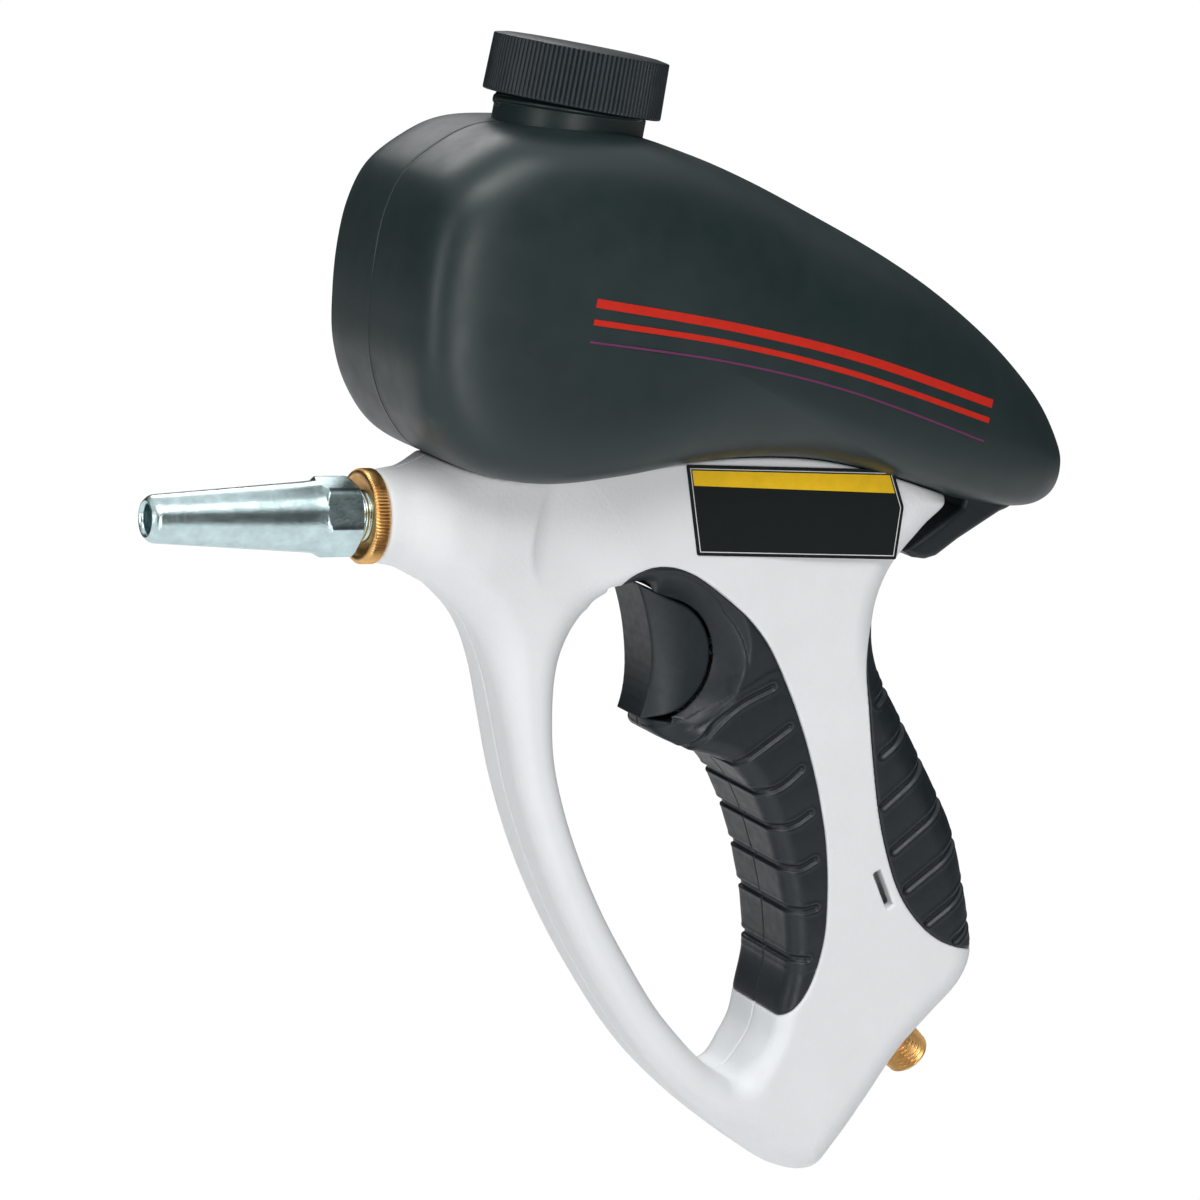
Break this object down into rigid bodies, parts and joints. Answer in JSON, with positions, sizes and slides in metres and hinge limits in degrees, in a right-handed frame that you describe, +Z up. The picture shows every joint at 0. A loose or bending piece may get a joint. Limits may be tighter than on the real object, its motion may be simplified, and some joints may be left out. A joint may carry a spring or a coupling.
{
  "type": "gravity-feed abrasive blast gun",
  "caption": "Hand-held blast gun: teardrop media hopper with screw cap on a pistol housing with a D-shaped hand guard, push trigger, conical nozzle, knurled lock ring and threaded air inlet.",
  "frame": {"origin": "centre of the nozzle's mouth", "axes": "+X back along the nozzle's axis towards the grip, +Y towards the gun's right side, +Z up towards the hopper's cap"},
  "size_m": [0.2715, 0.076, 0.3147],
  "materials": {
    "housing_plastic": "light grey, fine pebble texture",
    "grip_rubber": "black, satin",
    "trigger_plastic": "black, satin",
    "hopper_plastic": "dark grey-green, satin, blow moulded",
    "cap_plastic": "black, ribbed",
    "liner_foam": "pale foam",
    "label_film": "black and yellow film",
    "zinc_steel": "bright zinc plate",
    "screw_steel": "black oxide",
    "spring_steel": "bright wire",
    "brass": "turned",
    "cast_aluminium": "die cast",
    "seal_rubber": "black nitrile",
    "hose_rubber": "black",
    "tube_nylon": "natural nylon"
  },
  "bodies": {
    "gun": {"housing_left": "housing_plastic", "housing_right": "housing_plastic", "housing_screws": "screw_steel", "front_grip_left": "grip_rubber", "front_grip_right": "grip_rubber", "rear_grip_left": "grip_rubber", "rear_grip_right": "grip_rubber", "side_label": "label_film", "stem_seal": "seal_rubber", "valve_spring": "spring_steel", "valve_body": "brass", "valve_plug": "brass", "inlet_fitting": "brass", "inlet_hose": "hose_rubber", "hose_ferrules": "zinc_steel", "supply_tube": "tube_nylon", "tube_clips": "zinc_steel", "air_jet": "brass", "jet_seal": "seal_rubber", "mixing_body": "cast_aluminium", "nozzle": "zinc_steel", "nozzle_washer": "seal_rubber", "hopper": "hopper_plastic", "outlet_gasket": "seal_rubber", "latch_pin": "zinc_steel"},
    "trigger": {"trigger": "trigger_plastic", "valve_stem": "zinc_steel"},
    "lock_ring": {"lock_ring": "brass"},
    "liner": {"cap_liner": "liner_foam"},
    "cap": {"hopper_cap": "cap_plastic"},
    "latch": {"hopper_latch": "trigger_plastic"}
  },
  "joints": [
    {"name": "trigger_pull", "type": "slide", "parent": "gun", "child": "trigger", "axis": [1, 0, 0], "range_m": [0, 0.007], "stiffness_N_per_m": 900, "springref_m": -0.004, "deforming": ["valve_spring"]},
    {"name": "ring_turn", "type": "hinge", "parent": "gun", "child": "lock_ring", "pos_m": [0.06, 0, 0], "axis": [1, 0, 0], "continuous": true},
    {"name": "cap_rise", "type": "slide", "parent": "gun", "child": "liner", "axis": [0.1219, 0, 0.9925], "range_m": [0, 0.01]},
    {"name": "cap_turn", "type": "hinge", "parent": "liner", "child": "cap", "pos_m": [0.1115, 0, 0.1086], "axis": [0.1219, 0, 0.9925], "range_deg": [0, 902]},
    {"name": "latch_swing", "type": "hinge", "parent": "gun", "child": "latch", "pos_m": [0.251, 0, 0.0055], "axis": [0, -1, 0], "range_deg": [0, 22]}
  ],
  "couplings": [
    {"joint": "cap_turn", "follows": "cap_rise", "rad_per_m": 1570.8}
  ]
}
